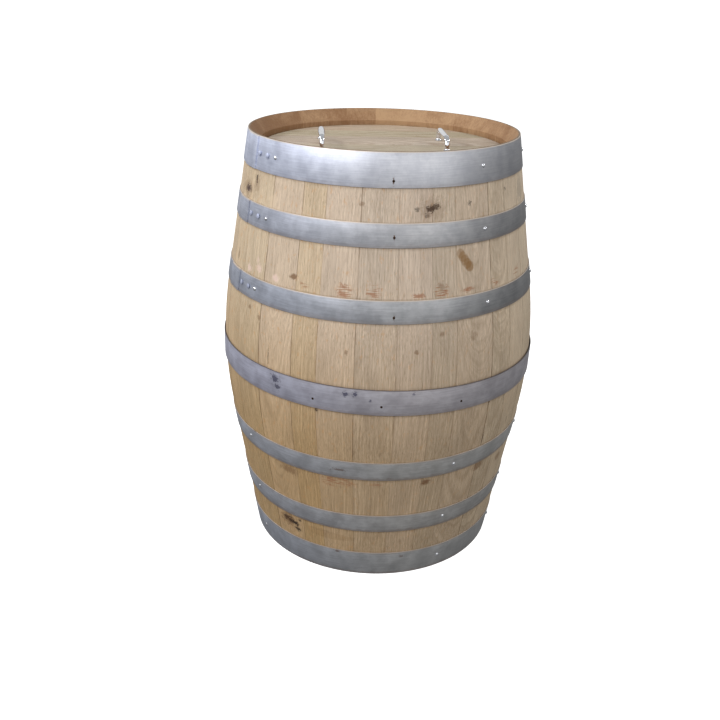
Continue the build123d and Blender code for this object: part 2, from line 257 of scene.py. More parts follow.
def oak_figure_group():
    """Vector across, through and along the board, in metres, to rings, fibres, pores and blotches."""
    tree = bpy.data.node_groups.new("oak figure", "ShaderNodeTree")
    for name in ("Vector", "Heart", "Lean", "Shift"):
        tree.interface.new_socket(name, in_out="INPUT", socket_type="NodeSocketVector")
    for name in ("Rings", "Fibres", "Pores", "Blotches"):
        tree.interface.new_socket(name, in_out="OUTPUT", socket_type="NodeSocketFloat")
    given = tree.nodes.new("NodeGroupInput").outputs
    out = tree.nodes.new("NodeGroupOutput").inputs

    across, through, along = parted(tree, given["Vector"])
    place = vector_calc(tree, "ADD", given["Vector"], given["Shift"])
    lean_x, lean_y, _ = parted(tree, given["Lean"])
    heart_x, heart_y, heart_z = parted(tree, given["Heart"])
    rise = minus(tree, along, heart_z)
    off_x = from_heart(tree, across, heart_x, rise, lean_x)
    off_y = from_heart(tree, through, heart_y, rise, lean_y)
    sway = minus(tree, drawn_noise(tree, place, (9.0, 9.0, 3.0)), 0.5)
    reach = length_of(tree, times_plus(tree, sway, 0.03, off_x), off_y)
    ripple = drawn_noise(tree, place, (60.0, 60.0, 5.0))
    reach = times_plus(tree, ripple, 0.0035, reach)
    ring_line = add(tree, "TexNoise", noise_dimensions="1D")
    run = times(tree, reach, RING_RATE)
    feed_all(tree, ring_line, {"W": run, "Scale": 1.0, "Detail": 3.0, "Roughness": 0.62})
    feed(tree, out["Rings"], span(tree, ring_line.outputs["Fac"], 0.32, 0.68))

    streaks = drawn_noise(tree, place, (560.0, 560.0, 11.0), 4.0, 0.7)
    hairs = drawn_noise(tree, place, (1500.0, 1500.0, 30.0))
    feed(tree, out["Fibres"], times_plus(tree, hairs, 0.45, times(tree, streaks, 0.55)))
    specks = drawn_noise(tree, place, (1100.0, 1100.0, 60.0), 1.0)
    dashes = drawn_noise(tree, place, (560.0, 560.0, 20.0), 2.0, 0.6)
    deep = calc(tree, "MAXIMUM", span(tree, specks, 0.60, 0.72), span(tree, dashes, 0.60, 0.74, 0.0, 0.8))
    feed(tree, out["Pores"], deep)
    feed(tree, out["Blotches"], drawn_noise(tree, place, (22.0, 22.0, 5.0), 3.0, 0.6))
    return tree


oak_figure = oak_figure_group()
print("oak figure group has", len(oak_figure.nodes), "nodes")

# %% [markdown]
# Wood keeps a record of what touched it. It is browner where a hoop has sat and sweated against it, and
# a band of grime and painted contact shade runs out a little below and above each hoop's edges. The hoops'
# edges come from the frame, so a ramp up the height of the barrel can mark them all at once. The belly hoop
# sits askew, so it gets a ramp of its own, measured along its tilt.

# %% Grime and painted shade along the hoops' edges
HEIGHT = cad_box[1][2]
LEVEL_HOOPS = ["hoop_head_bottom", "hoop_quarter_bottom", "hoop_bilge_bottom", "hoop_bilge_top",
               "hoop_quarter_top", "hoop_head_top"]
BELLY_TILT = math.radians(1.1)
BELLY_MIDDLE, BELLY_HALF = 0.4675, 0.028


def mark_ramp(tree, value, edges, below=0.006, above=0.0025):
    """Ramp that is full under each hoop and fades a little way below and above it."""
    ramp = add(tree, "ValToRGB")
    stops = ramp.color_ramp.elements
    stops.remove(stops[1])
    stops[0].position = 0.0
    stops[0].color = (0, 0, 0, 1)
    for low, high in edges:
        for position, level in ((low - below, 0), (low, 1), (high, 1), (high + above, 0)):
            if 0 < position < HEIGHT:
                stop = stops.new(position / HEIGHT)
                stop.color = (level, level, level, 1)
    feed(tree, ramp.inputs[0], calc(tree, "DIVIDE", value, HEIGHT))
    return ramp.outputs[0]


def hoop_marks_group():
    """Object coordinates to the share of grime and painted contact shade along the hoops' edges."""
    tree = bpy.data.node_groups.new("hoop grime and shade", "ShaderNodeTree")
    tree.interface.new_socket("Vector", in_out="INPUT", socket_type="NodeSocketVector")
    tree.interface.new_socket("Marks", in_out="OUTPUT", socket_type="NodeSocketFloat")
    place = tree.nodes.new("NodeGroupInput").outputs[0]
    x, y, z = parted(tree, place)
    edges = [(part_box(name)[0][2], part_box(name)[1][2]) for name in LEVEL_HOOPS]
    uneven = plus(tree, z, swing(tree, noise(tree, place, 45.0, 3.0), 0.006))
    level = mark_ramp(tree, uneven, edges)
    tilted = times_plus(tree, x, math.tan(BELLY_TILT), uneven)
    belly = mark_ramp(tree, tilted, [(BELLY_MIDDLE - BELLY_HALF, BELLY_MIDDLE + BELLY_HALF)])
    feed(tree, tree.nodes.new("NodeGroupOutput").inputs[0], calc(tree, "MAXIMUM", level, belly))
    return tree


hoop_grime_and_shade = hoop_marks_group()
print("hoop grime and shade for", len(LEVEL_HOOPS) + 1, "hoops")

# %% [markdown]
# A few marks make this barrel itself and no other: dark knots, a long ochre smear, rust below the hoops
# and bleached or pinkish patches. Each could be painted by hand on an unwrapped stave. Here each is an
# ellipse at an angle round the barrel and a height, so a short list can hold them all. Noise breaks them
# up: it pushes the knots out of shape, frays the other edges and parts the rust into dashes across the
# grain. Angles are in degrees from the front towards the right side, heights in metres.

# %% Marks on the staves
TORN_KINDS = ("knot", "blue")
MARK_EDGE = 1.25  # half sizes out from the middle
MARK_COLOURS = {
    "knot": colour(44, 35, 31), "blue": colour(44, 42, 56), "brown": colour(122, 88, 58),
    "rust": colour(166, 114, 82), "ochre": colour(142, 104, 58), "pink": colour(240, 212, 202),
    "pale": colour(222, 200, 172), "grey": colour(132, 122, 112),
}
# angle, height, half width in degrees, half height, strength, kind
MARKS = [
    (-64.0, 0.842, 3.4, 0.009, 1.0, "blue"), (-64.6, 0.839, 2.6, 0.008, 0.9, "blue"),
    (-64.5, 0.842, 6.0, 0.02, 0.35, "brown"),
    (-56.3, 0.866, 0.9, 0.014, 0.9, "knot"), (-55.8, 0.858, 2.2, 0.022, 0.35, "brown"),
    (-44.0, 0.835, 3.0, 0.016, 0.55, "pale"), (-7.0, 0.854, 1.4, 0.006, 0.5, "brown"),
    (17.6, 0.846, 2.2, 0.008, 0.95, "knot"), (20.2, 0.851, 1.8, 0.007, 0.85, "knot"),
    (12.8, 0.846, 1.0, 0.005, 0.6, "knot"), (16.4, 0.834, 1.2, 0.006, 0.6, "knot"),
    (18.5, 0.846, 5.0, 0.024, 0.3, "brown"), (34.0, 0.851, 0.9, 0.005, 0.6, "knot"),
    (54.0, 0.864, 0.9, 0.005, 0.6, "knot"), (69.0, 0.85, 4.0, 0.03, 0.4, "grey"),
    (-54.0, 0.689, 1.6, 0.008, 0.6, "pink"), (-48.0, 0.697, 1.6, 0.01, 0.6, "pink"),
    (-49.0, 0.712, 0.8, 0.008, 0.4, "pink"), (-38.5, 0.69, 1.5, 0.008, 0.6, "pink"),
    (-30.5, 0.702, 1.6, 0.006, 0.8, "brown"), (-26.0, 0.69, 2.0, 0.006, 0.6, "rust"),
    (-65.0, 0.701, 0.8, 0.018, 0.5, "brown"), (-11.5, 0.69, 3.0, 0.015, 0.8, "rust"),
    (-1.5, 0.692, 2.6, 0.016, 0.75, "rust"), (21.5, 0.691, 2.8, 0.014, 0.95, "rust"),
    (22.0, 0.698, 1.4, 0.01, 0.4, "brown"), (13.5, 0.683, 2.6, 0.006, 0.8, "rust"),
    (32.0, 0.686, 2.4, 0.007, 0.85, "rust"), (45.0, 0.688, 2.2, 0.01, 0.7, "rust"),
    (59.5, 0.692, 2.2, 0.011, 0.6, "rust"),
    (29.2, 0.758, 1.4, 0.009, 0.5, "ochre"), (30.2, 0.751, 1.5, 0.01, 0.55, "ochre"),
    (31.2, 0.744, 1.6, 0.01, 0.58, "ochre"), (32.2, 0.737, 1.6, 0.01, 0.62, "ochre"),
    (33.1, 0.731, 1.5, 0.01, 0.7, "ochre"), (-39.3, 0.525, 0.25, 0.026, 0.65, "knot"),
    (-10.0, 0.57, 0.8, 0.005, 0.55, "brown"), (13.0, 0.573, 0.8, 0.005, 0.55, "brown"),
    (22.0, 0.605, 0.9, 0.006, 0.55, "brown"), (-51.0, 0.611, 1.0, 0.005, 0.55, "brown"),
    (-45.0, 0.598, 0.9, 0.005, 0.5, "brown"), (34.0, 0.59, 1.6, 0.01, 0.4, "brown"),
    (-19.8, 0.435, 0.7, 0.005, 0.75, "knot"), (43.2, 0.432, 0.3, 0.01, 0.7, "knot"),
    (43.2, 0.339, 0.3, 0.018, 0.65, "knot"), (52.0, 0.423, 0.28, 0.018, 0.6, "knot"),
    (58.0, 0.352, 0.28, 0.013, 0.6, "knot"), (-33.0, 0.26, 4.0, 0.012, 0.55, "brown"),
    (-13.5, 0.262, 7.0, 0.013, 0.8, "rust"), (20.0, 0.262, 2.4, 0.009, 0.85, "brown"),
    (1.5, 0.262, 2.0, 0.006, 0.5, "rust"), (44.0, 0.262, 2.6, 0.011, 0.6, "brown"),
    (60.0, 0.247, 2.6, 0.012, 0.55, "brown"), (-38.5, 0.112, 2.4, 0.008, 1.0, "knot"),
    (-37.0, 0.109, 3.2, 0.008, 0.9, "knot"), (-38.0, 0.108, 5.0, 0.018, 0.55, "brown"),
    (-34.5, 0.105, 3.0, 0.007, 0.95, "knot"), (-33.0, 0.09, 2.2, 0.008, 0.85, "knot"),
    (-31.5, 0.119, 1.4, 0.005, 0.75, "knot"), (-17.0, 0.101, 10.0, 0.009, 0.2, "ochre"),
    (-29.0, 0.128, 7.0, 0.005, 0.32, "brown"),
    (-24.0, 0.142, 6.0, 0.004, 0.26, "brown"), (-21.0, 0.112, 5.0, 0.004, 0.24, "brown"),
]


def from_mark(tree, angle, z, mark):
    """Sideways and upwards from a mark's middle, in its half sizes."""
    at_angle, at_height, half_width, half_height = mark[:4]
    turn = minus(tree, angle, math.radians(at_angle))
    side = calc(tree, "DIVIDE", turn, math.radians(half_width))
    return side, calc(tree, "DIVIDE", minus(tree, z, at_height), half_height)


def mark_share(tree, angle, z, torn, splinters, ladder, mark):
    """How strongly one mark shows at an angle and a height."""
    strength, kind = mark[4:]
    side, rise = from_mark(tree, angle, z, mark)
    reach = length_of(tree, side, rise)
    if kind in TORN_KINDS:
        side = plus(tree, side, swing(tree, torn, 4.0))
        rise = plus(tree, rise, swing(tree, splinters, 4.5))
        near = times_plus(tree, reach, 0.22, length_of(tree, side, rise))
        return span(tree, near, MARK_EDGE, 0.55, 0.0, strength)
    fray, full = (0.8, 0.85) if kind == "ochre" else (3.2, 0.45)
    frayed = plus(tree, reach, swing(tree, torn, fray))
    share = span(tree, frayed, MARK_EDGE, full, 0.0, strength)
    return times(tree, share, ladder) if kind == "rust" else share


print(len(MARKS), "marks listed")

# %% [markdown]
# A stave is one board, so it gets one finish of its own. The pattern is turned to face the stave, and its
# depth is measured from the bent outside, so the grain follows the bend as it does in steamed oak. On
# top of the figure come a darker, warmer foot that is partly the oak's tone and partly painted shade of the
# light falling off down the barrel, a tint for the board, orange flecks, the dark joints beside the
# neighbours, grime and painted contact shade along the hoops' edges and the stave's own knots and stains.
# The cut chime inside the rim and the toasted inner wall are browner, and radius and height are enough to
# find them.

# %% Finish for the staves
FIRST_SEAM = -58.0
STAVE_WIDTHS = [13.7, 14.8, 9.5, 13.0, 13.5, 12.0, 9.0, 15.5, 10.0, 11.0, 14.0, 12.6, 15.2, 11.8,
                14.4, 10.2, 16.1, 12.9, 13.3, 14.7, 11.0, 15.8, 12.2, 14.0, 11.4, 13.1, 13.8, 11.5]
FLAT_CUT = (2, 9, 14, 19, 25)  # others have one chance in five
ARCH_STAVE, ARCH_HEIGHT = 9, 0.590  # metres
BILGE_RADIUS, BEND_FALL = 0.3524, 0.290  # the outside falls back by 0.29 times height squared
STRAW, BARK_BROWN = colour(227, 208, 184), colour(178, 156, 130)
# foot tones: partly the oak's own warmer colour, partly painted shade of the light falling off towards the
# foot
FOOT_STRAW_AND_SHADE, FOOT_BROWN_AND_SHADE = colour(218, 192, 156), colour(160, 132, 100)
FLECK_ORANGE = colour(206, 156, 104)
# the third brown is grime and painted contact shade along the hoops' edges
PORE_BROWN, SEAM_BROWN, GRIME_AND_SHADE_BROWN = colour(124, 98, 74), colour(104, 76, 52), colour(120, 96, 74)
CHIME_TAN, CHIME_BROWN = colour(186, 150, 113), colour(144, 105, 71)
TOAST_BROWN, RIM_BROWN = colour(84, 58, 40), colour(112, 92, 74)
GRAIN_DEPTH = 0.0006  # metres of relief in the grain
YELLOW_MIDDLE, YELLOW_REACH = 12, 36  # degrees: the foot yellows to the right
JOINT_EDGE = math.radians(0.26)
CHIME_RADIUS, CHIME_SOFT = 0.2836, 0.0010  # the cut inside the rim
CHIME_LOW, CHIME_HIGH = 0.400, 0.401  # from mid-height
TOAST_LOW, TOAST_HIGH = 0.434, 0.436
TOAST_NEAR, TOAST_DEEP = 0.0225, 0.0245  # depths below the outside
CHIME_SHADES = {8: 0.10, 9: 0.08, 10: 0.14, 11: 0.10, 12: 0.06, 13: 0.08, 14: 0.02, 15: -0.02, 16: 0.04,
                17: -0.04, 18: -0.12, 19: -0.15, 20: 0.04, 21: 0.08, 22: 0.02, 23: 0.10, 24: 0.14,
                25: 0.16, 26: 0.20, 27: 0.20}

# tint over the board, and how dark its left and right joints are
STAVE_TINTS = {
    1: ((0.98, 0.98, 0.94), 0.25, 0.75), 2: ((1.00, 0.99, 1.00), 0.65, 0.35),
    3: ((1.00, 0.98, 0.92), 0.35, 0.15), 4: ((0.98, 0.98, 1.02), 0.15, 0.45),
    5: ((0.98, 1.00, 1.06), 0.45, 0.20), 6: ((0.97, 0.98, 1.04), 0.20, 0.25),
    7: ((0.96, 0.98, 1.02), 0.25, 0.30), 8: ((0.97, 0.97, 0.99), 0.30, 0.80),
    9: ((0.96, 0.97, 0.97), 0.80, 0.40), 10: ((0.96, 0.97, 0.97), 0.40, 0.50),
    28: ((0.99, 0.98, 0.92), 0.50, 0.25), 27: ((0.99, 0.98, 0.94), 0.3, 0.5),
}


def figure_of(tree, vector, heart, lean, shift):
    """Place an oak figure and return its outputs."""
    group = add(tree, "Group", node_tree=oak_figure)
    feed_all(tree, group, {"Vector": vector, "Heart": heart, "Lean": lean, "Shift": shift})
    return group.outputs


def oak_colours(tree, figure, light, dark, contrast=1.0):
    """Colour the rings, fibres and pores of an oak figure between a light and a dark tone."""
    rings = times(tree, figure["Rings"], 0.40 * contrast)
    body = blend(tree, rings, light, dark)
    streak = span(tree, figure["Fibres"], 0.38, 0.64, 0.0, 0.66 * contrast)
    body = blend(tree, streak, body, dark)
    cloud = span(tree, figure["Blotches"], 0.3, 0.7, 0.90, 1.07)
    body = shaded(tree, body, cloud)
    return blend(tree, times(tree, figure["Pores"], 0.38), body, PORE_BROWN)


def random_shift(chance):
    return tuple(chance.uniform(0, 20) for _ in range(3))


def wood_shader(tree, shader, figure, body, relief, strength, rough=(0.55, 0.75), specular=0.35):
    """Give a wood its colour, a roughness that follows the fibres, and its relief."""
    feed(tree, shader.inputs["Base Color"], body)
    feed(tree, shader.inputs["Roughness"], span(tree, figure["Fibres"], 0.3, 0.7, *rough))
    shader.inputs["Specular IOR Level"].default_value = specular
    bump(tree, shader, relief, strength, GRAIN_DEPTH)


def stave_heart(number, chance):
    """Heart line, its lean and the place in the noise of one stave."""
    flat_cut = number in FLAT_CUT or chance.random() < 0.2
    if flat_cut:
        heart_x, heart_y = chance.uniform(-0.012, 0.012), chance.uniform(0.05, 0.08)
    else:
        heart_x, heart_y = chance.choice((-1, 1)) * chance.uniform(0.05, 0.11), chance.uniform(0.0, 0.04)
    heart_z = ARCH_HEIGHT if number == ARCH_STAVE else chance.uniform(0.1, 0.9)
    lean = (chance.uniform(-0.02, 0.02), chance.choice((-1, 1)) * (0.11 if flat_cut else 0.02), 0)
    return (heart_x, heart_y, heart_z), lean, random_shift(chance)


def with_joints(tree, body, place, angle, width, left_joint, right_joint):
    half = math.radians(width / 2)
    open_joint = span(tree, drawn_noise(tree, place, (8.0, 8.0, 14.0)), 0.3, 0.62, 0.4, 1.0)
    for hand, strength in ((-1, left_joint), (1, right_joint)):
        towards_joint = times(tree, angle, hand)
        near = span(tree, towards_joint, half - JOINT_EDGE, half - JOINT_EDGE * 0.25, 0.0, strength)
        body = blend(tree, times(tree, near, open_joint), body, SEAM_BROWN)
    return body


def with_marks(tree, body, place, angle, z, middle, width):
    torn = drawn_noise(tree, place, (1.0, 1.0, 0.7), 5.0, 0.75, 0.6, 95.0)
    splinters = drawn_noise(tree, place, (1.0, 1.0, 1.2), 4.0, 0.7, 1.0, 210.0)
    ladder = span(tree, drawn_noise(tree, place, (34.0, 34.0, 330.0), 3.0, 0.6), 0.46, 0.56)
    whole_angle = plus(tree, angle, math.radians(middle))
    for mark in MARKS:
        if abs((mark[0] - middle + 180) % 360 - 180) < width / 2 + mark[2]:
            share = mark_share(tree, whole_angle, z, torn, splinters, ladder, mark)
            body = blend(tree, share, body, MARK_COLOURS[mark[5]])
    return body


def with_ends(tree, body, place, radius, away, fall, shade):
    lathe = span(tree, radius, CHIME_RADIUS + CHIME_SOFT, CHIME_RADIUS)
    chime = times(tree, lathe, span(tree, away, CHIME_LOW, CHIME_HIGH))
    upright = drawn_noise(tree, place, (260.0, 260.0, 26.0), 4.0, 0.65)
    patchy = noise(tree, place, 30.0, 4.0, 0.55)
    tone_level = times_plus(tree, patchy, 0.5, times(tree, upright, 0.5))
    tone_level = plus(tree, tone_level, shade)
    chime_tone = blend(tree, span(tree, tone_level, 0.28, 0.72), CHIME_TAN, CHIME_BROWN)
    body = blend(tree, times(tree, chime, 0.94), body, chime_tone)
    rim = span(tree, away, HEIGHT / 2 - 0.0006, HEIGHT / 2 - 0.0001)
    body = blend(tree, times(tree, rim, 0.75), body, RIM_BROWN)
    skin = plus(tree, radius, fall)
    toast = span(tree, skin, BILGE_RADIUS - TOAST_NEAR, BILGE_RADIUS - TOAST_DEEP)
    toast = times(tree, toast, span(tree, away, TOAST_HIGH, TOAST_LOW))
    return blend(tree, times(tree, toast, 0.85), body, TOAST_BROWN)


def stave_finish(number, middle, width):
    """Material for one stave, given its number, its middle angle and its width in degrees."""
    chance = random.Random(100 + number)
    middle = (middle + 180) % 360 - 180
    material, tree, shader = finish_with(f"stave oak {number:02d}")
    place = add(tree, "TexCoord").outputs["Object"]
    across, towards, z = turned(tree, place, middle)
    from_middle = minus(tree, z, HEIGHT / 2)
    fall = times(tree, times(tree, from_middle, from_middle), BEND_FALL)
    depth = plus(tree, towards, minus(tree, BILGE_RADIUS, fall))
    heart, lean, shift = stave_heart(number, chance)
    figure = figure_of(tree, joined(tree, across, depth, z), heart, lean, shift)

    # darker and warmer towards the foot: partly the oak's tone, partly painted shade of the light falling off
    foot_tone_and_shade = span(tree, z, 0.76, 0.28)
    side = max(-1.0, min(1.0, (middle - YELLOW_MIDDLE) / YELLOW_REACH))
    yellowing = (1.0, 1.0 + 0.06 * side, 1.0 + 0.18 * side, 1.0)
    light = blend(tree, foot_tone_and_shade, STRAW, tinted(tree, FOOT_STRAW_AND_SHADE, yellowing))
    dark = blend(tree, foot_tone_and_shade, BARK_BROWN, tinted(tree, FOOT_BROWN_AND_SHADE, yellowing))
    body = oak_colours(tree, figure, light, dark, chance.uniform(0.8, 1.15))
    usual_tint = tuple(chance.uniform(0.94, 1.0) for _ in range(3))
    usual = usual_tint, chance.uniform(0.3, 0.9), chance.uniform(0.3, 0.9)
    tint, left_joint, right_joint = STAVE_TINTS.get(number, usual)
    body = tinted(tree, body, (*tint, 1))
    flecks = drawn_noise(tree, place, (120.0, 120.0, 60.0), 4.0, 0.65)
    body = blend(tree, span(tree, flecks, 0.56, 0.70, 0.0, 0.32 - 0.14 * side), body, FLECK_ORANGE)

    angle = calc(tree, "ARCTAN2", across, times(tree, towards, -1.0))
    body = with_joints(tree, body, place, angle, width, left_joint, right_joint)
    # grime and painted contact shade along the hoops' edges
    grime_and_shade = feed_all(tree, add(tree, "Group", node_tree=hoop_grime_and_shade), (place,))
    body = blend(tree, times(tree, grime_and_shade, 0.42), body, GRIME_AND_SHADE_BROWN)
    body = with_marks(tree, body, place, angle, z, middle, width)
    shade = CHIME_SHADES.get(number, chance.uniform(-0.10, 0.10))
    away = calc(tree, "ABSOLUTE", from_middle)
    body = with_ends(tree, body, place, length_of(tree, across, towards), away, fall, shade)

    relief = minus(tree, figure["Fibres"], times(tree, figure["Pores"], 0.6))
    relief = times_plus(tree, figure["Rings"], -0.25, relief)
    wood_shader(tree, shader, figure, body, relief, 0.5)
    return material


start = FIRST_SEAM
for number, width in enumerate(STAVE_WIDTHS, 1):
    dress(f"stave_{number:02d}", stave_finish(number, start + width / 2, width))
    start += width
print("dressed", len(STAVE_WIDTHS), "staves, in all", round(start - FIRST_SEAM, 1), "degrees round")

# %% [markdown]
# The lid and the lower head are flat boards with their grain running from side to side. They were sawn
# from the same oak, so they take the same figure with the pattern laid over on its side: the object's
# height becomes the way through the board. The lid is paler and greyer than the staves, with a stronger
# difference between its light and dark grain, and each board has a tint of its own.

# %% Finish for the head boards
LID_TURN, BASE_TURN = 5.0, 20.0
LID_STRAW, LID_BROWN = colour(222, 210, 196), colour(150, 124, 98)


def board_finish(name, number, turn, light, dark):
    """Material for one head board whose grain runs along the turned X direction."""
    chance = random.Random(name + str(number))
    material, tree, shader = finish_with(f"{name} oak {number}")
    along, across, z = turned(tree, add(tree, "TexCoord").outputs["Object"], turn)
    middle = sum(corner[1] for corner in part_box(f"{name}_board_{number}")) / 2
    heart = (middle + chance.choice((-1, 1)) * chance.uniform(0.01, 0.09), chance.uniform(0.80, 0.86),
             chance.uniform(-0.2, 0.2))
    lean = (chance.uniform(-0.03, 0.03), chance.uniform(-0.14, 0.14), 0)
    figure = figure_of(tree, joined(tree, across, z, along), heart, lean, random_shift(chance))
    body = oak_colours(tree, figure, light, dark, chance.uniform(1.0, 1.4))
    tint = tuple(chance.uniform(0.94, 1.02) for _ in range(2)) + (chance.uniform(0.9, 1.0), 1)
    relief = times_plus(tree, figure["Rings"], -0.3, figure["Fibres"])
    wood_shader(tree, shader, figure, tinted(tree, body, tint), relief, 0.45)
    return material


lid_boards = sorted(name for name in nodes if name.startswith("lid_board_"))
base_boards = sorted(name for name in nodes if name.startswith("base_board_"))
for number, node_name in enumerate(lid_boards, 1):
    dress(node_name, board_finish("lid", number, LID_TURN, LID_STRAW, LID_BROWN))
for number, node_name in enumerate(base_boards, 1):
    dress(node_name, board_finish("base", number, BASE_TURN, LID_STRAW, LID_BROWN))
print("dressed", len(lid_boards), "lid boards and", len(base_boards), "base boards")

# %% [markdown]
# Dowels, battens, cleats and the bung are small oak offcuts that hardly show. One finish with the same
# figure suits them, with the grain upright in the cleats and along Y in the battens. The battens lie
# nearly along Y, so a swap of axes is all they need.

# %% Finish for the small oak parts
def offcut_finish(name, order, light, dark):
    """Material whose figure takes the object's axes in the given order: across, through, along."""
    chance = random.Random(name)
    material, tree, shader = finish_with(name)
    axes = parted(tree, add(tree, "TexCoord").outputs["Object"])
    swapped = joined(tree, *[axes[i] for i in order])
    figure = figure_of(tree, swapped, (0.07, 0.9, 0.3), (0.02, 0.05, 0), random_shift(chance))
    body = oak_colours(tree, figure, light, dark)
    wood_shader(tree, shader, figure, body, figure["Fibres"], 0.5, (0.58, 0.8), 0.5)
    return material


batten_oak = offcut_finish("batten oak", (0, 2, 1), colour(196, 168, 128), colour(142, 112, 76))
cleat_oak = offcut_finish("cleat oak", (0, 1, 2), colour(188, 160, 120), colour(136, 106, 72))
dowel_oak = offcut_finish("dowel oak", (0, 2, 1), colour(206, 178, 136), colour(150, 120, 84))
OFFCUTS = {"lid_batten_left": batten_oak, "lid_batten_right": batten_oak, "lid_cleats": cleat_oak,
           "lid_dowels": dowel_oak, "base_dowels": dowel_oak, "bung": cleat_oak}
for node_name, finish in OFFCUTS.items():
    dress(node_name, finish)
print("three finishes for the battens, cleats, dowels and bung")

# %% [markdown]
# The hoops are galvanised strip. Zinc freezes into a mosaic of crystals, which a Voronoi pattern copies
# well, and years of rolling and wiping leave faint lines along the strip and dull patches. To lay those
# lines along the hoop, the surface is unrolled: angle times radius becomes one coordinate and height the
# other. Each hoop has its own age, so its tones, its rust and its shine are parameters, and so is a painted
# shade that darkens it towards the right; a painted cool light makes every hoop bluer on the left. A few
# slate and rusty stains are listed as the staves' marks are.

# %% Finish for the hoops
RUST = colour(120, 90, 70)
EDGE_PALE, EDGE_DARK = colour(226, 214, 200), colour(84, 80, 78)
# painted light: a cool cast of the left-hand light on the zinc
LEFT_COOL_LIGHT_TINT = (0.95, 1.00, 1.14, 1.0)  # the strip is bluer on the left
ROLL_RADIUS = 0.32  # metres of strip for each radian, near enough for every hoop
STAIN_COLOURS = {"slate": colour(96, 96, 116), "rust": colour(112, 84, 66)}
# angle, height, half width in degrees, half height, strength, kind
HOOP_STAINS = {
    "hoop_head_top": [(4.1, 0.898, 0.36, 0.008, 0.9, "rust")],
    "hoop_quarter_top": [(4.8, 0.795, 0.34, 0.007, 0.9, "rust")],
    "hoop_bilge_top": [(5.3, 0.6435, 0.32, 0.006, 0.8, "rust")],
    "hoop_belly": [(-35.7, 0.483, 1.9, 0.012, 0.9, "slate"), (-34.6, 0.466, 1.6, 0.007, 0.8, "slate"),
                   (-9.6, 0.483, 1.3, 0.006, 0.9, "slate"), (-6.4, 0.484, 1.0, 0.006, 0.9, "slate"),
                   (-1.4, 0.472, 0.5, 0.004, 0.7, "slate"), (12.5, 0.486, 0.7, 0.004, 0.6, "slate")],
    "hoop_bilge_bottom": [(-50.0, 0.323, 1.6, 0.006, 0.6, "rust"), (-12.0, 0.296, 3.0, 0.004, 0.6, "rust")],
    "hoop_head_bottom": [(-14.0, 0.060, 1.6, 0.004, 0.6, "rust"), (14.0, 0.052, 1.2, 0.004, 0.5, "rust")],
}


def unrolled(tree):
    """Object coordinates laid flat: length round the barrel, radius and height."""
    x, y, z = parted(tree, add(tree, "TexCoord").outputs["Object"])
    angle = calc(tree, "ARCTAN2", x, times(tree, y, -1.0))
    return joined(tree, times(tree, angle, ROLL_RADIUS), 0.0, z), x, z


def with_stains(tree, body, place, angle, z, stains):
    blots = noise(tree, place, 190.0, 4.0, 0.7, 0.8)
    for stain in stains:
        reach = length_of(tree, *from_mark(tree, angle, z, stain))
        core = plus(tree, blots, span(tree, reach, 0.8, 0.2, 0.0, 0.25))
        share = span(tree, times_plus(tree, reach, -0.17, core), 0.32, 0.50, 0.0, stain[4])
        body = blend(tree, share, body, STAIN_COLOURS[stain[5]])
    return body


def zinc_finish(name, low, high, light, dark, rust=0.3, tilt=0.0, shine=0.42, stains=(), right_shade_level=1.0):
    """Material for galvanised strip between two heights, rusty at its edges and tilted with its hoop."""
    material, tree, shader = finish_with(name)
    chance = random.Random(name)
    flat, x, z = unrolled(tree)
    place = vector_calc(tree, "ADD", flat, (chance.uniform(0, 9), 0.0, chance.uniform(0, 9)))
    crystals = add(tree, "TexVoronoi")
    squeezed = vector_calc(tree, "MULTIPLY", place, (1.0, 1.0, 1.3))
    feed_all(tree, crystals, {"Vector": squeezed, "Scale": 120.0})
    spangle = feed_all(tree, add(tree, "RGBToBW"), (crystals.outputs["Color"],))
    cloud = noise(tree, place, 26.0, 4.0, 0.6)
    drawn = drawn_noise(tree, place, (14.0, 1.0, 420.0), 3.0, 0.6)
    scuff = drawn_noise(tree, place, (160.0, 1.0, 60.0), 4.0, 0.75, 1.5)
    tone = times_plus(tree, spangle, 0.09, times(tree, cloud, 0.9))
    tone = times_plus(tree, minus(tree, drawn, 0.5), 0.55, tone)
    body = blend(tree, span(tree, tone, 0.25, 0.78), dark, light)
    body = blend(tree, span(tree, scuff, 0.60, 0.74, 0.0, 0.3), body, light)
    # painted cool light: the strip turns bluer towards the left
    body = blend(tree, span(tree, x, 0.10, -0.26), body, tinted(tree, body, LEFT_COOL_LIGHT_TINT))
    # painted shade: the strip darkens towards the right, down to the level given for that side
    tone_level = span(tree, times_plus(tree, cloud, 0.04, x), 0.10, 0.31, 1.0, right_shade_level)
    body = shaded(tree, body, tone_level)

    level = times_plus(tree, x, math.tan(tilt), z)
    edge = span(tree, level, high - 0.0018, high - 0.0008, 0.0, 0.75)
    body = blend(tree, edge, body, EDGE_DARK if tilt else EDGE_PALE)
    uneven = swing(tree, noise(tree, place, 70.0, 3.0), 0.012, 0.35)
    at_foot = span(tree, minus(tree, level, uneven), low + 0.007, low + 0.0005, 0.0, rust)
    at_head = span(tree, plus(tree, level, uneven), high - 0.005, high - 0.0005, 0.0, rust * 0.5)
    stained = calc(tree, "MAXIMUM", at_foot, at_head)
    body = blend(tree, stained, body, RUST)
    angle, _, _ = parted(tree, vector_calc(tree, "DIVIDE", flat, (ROLL_RADIUS, 1.0, 1.0)))
    body = with_stains(tree, body, place, angle, z, stains)

    feed(tree, shader.inputs["Base Color"], body)
    feed(tree, shader.inputs["Metallic"], minus(tree, 0.62, times(tree, stained, 0.5)))
    rough = times_plus(tree, scuff, 0.4, times(tree, cloud, 0.6))
    feed(tree, shader.inputs["Roughness"], span(tree, rough, 0.3, 0.7, shine, shine + 0.18))
    relief = times_plus(tree, cloud, 1.0, times(tree, drawn, 0.25))
    bump(tree, shader, relief, 0.2, 0.0008)
    return material
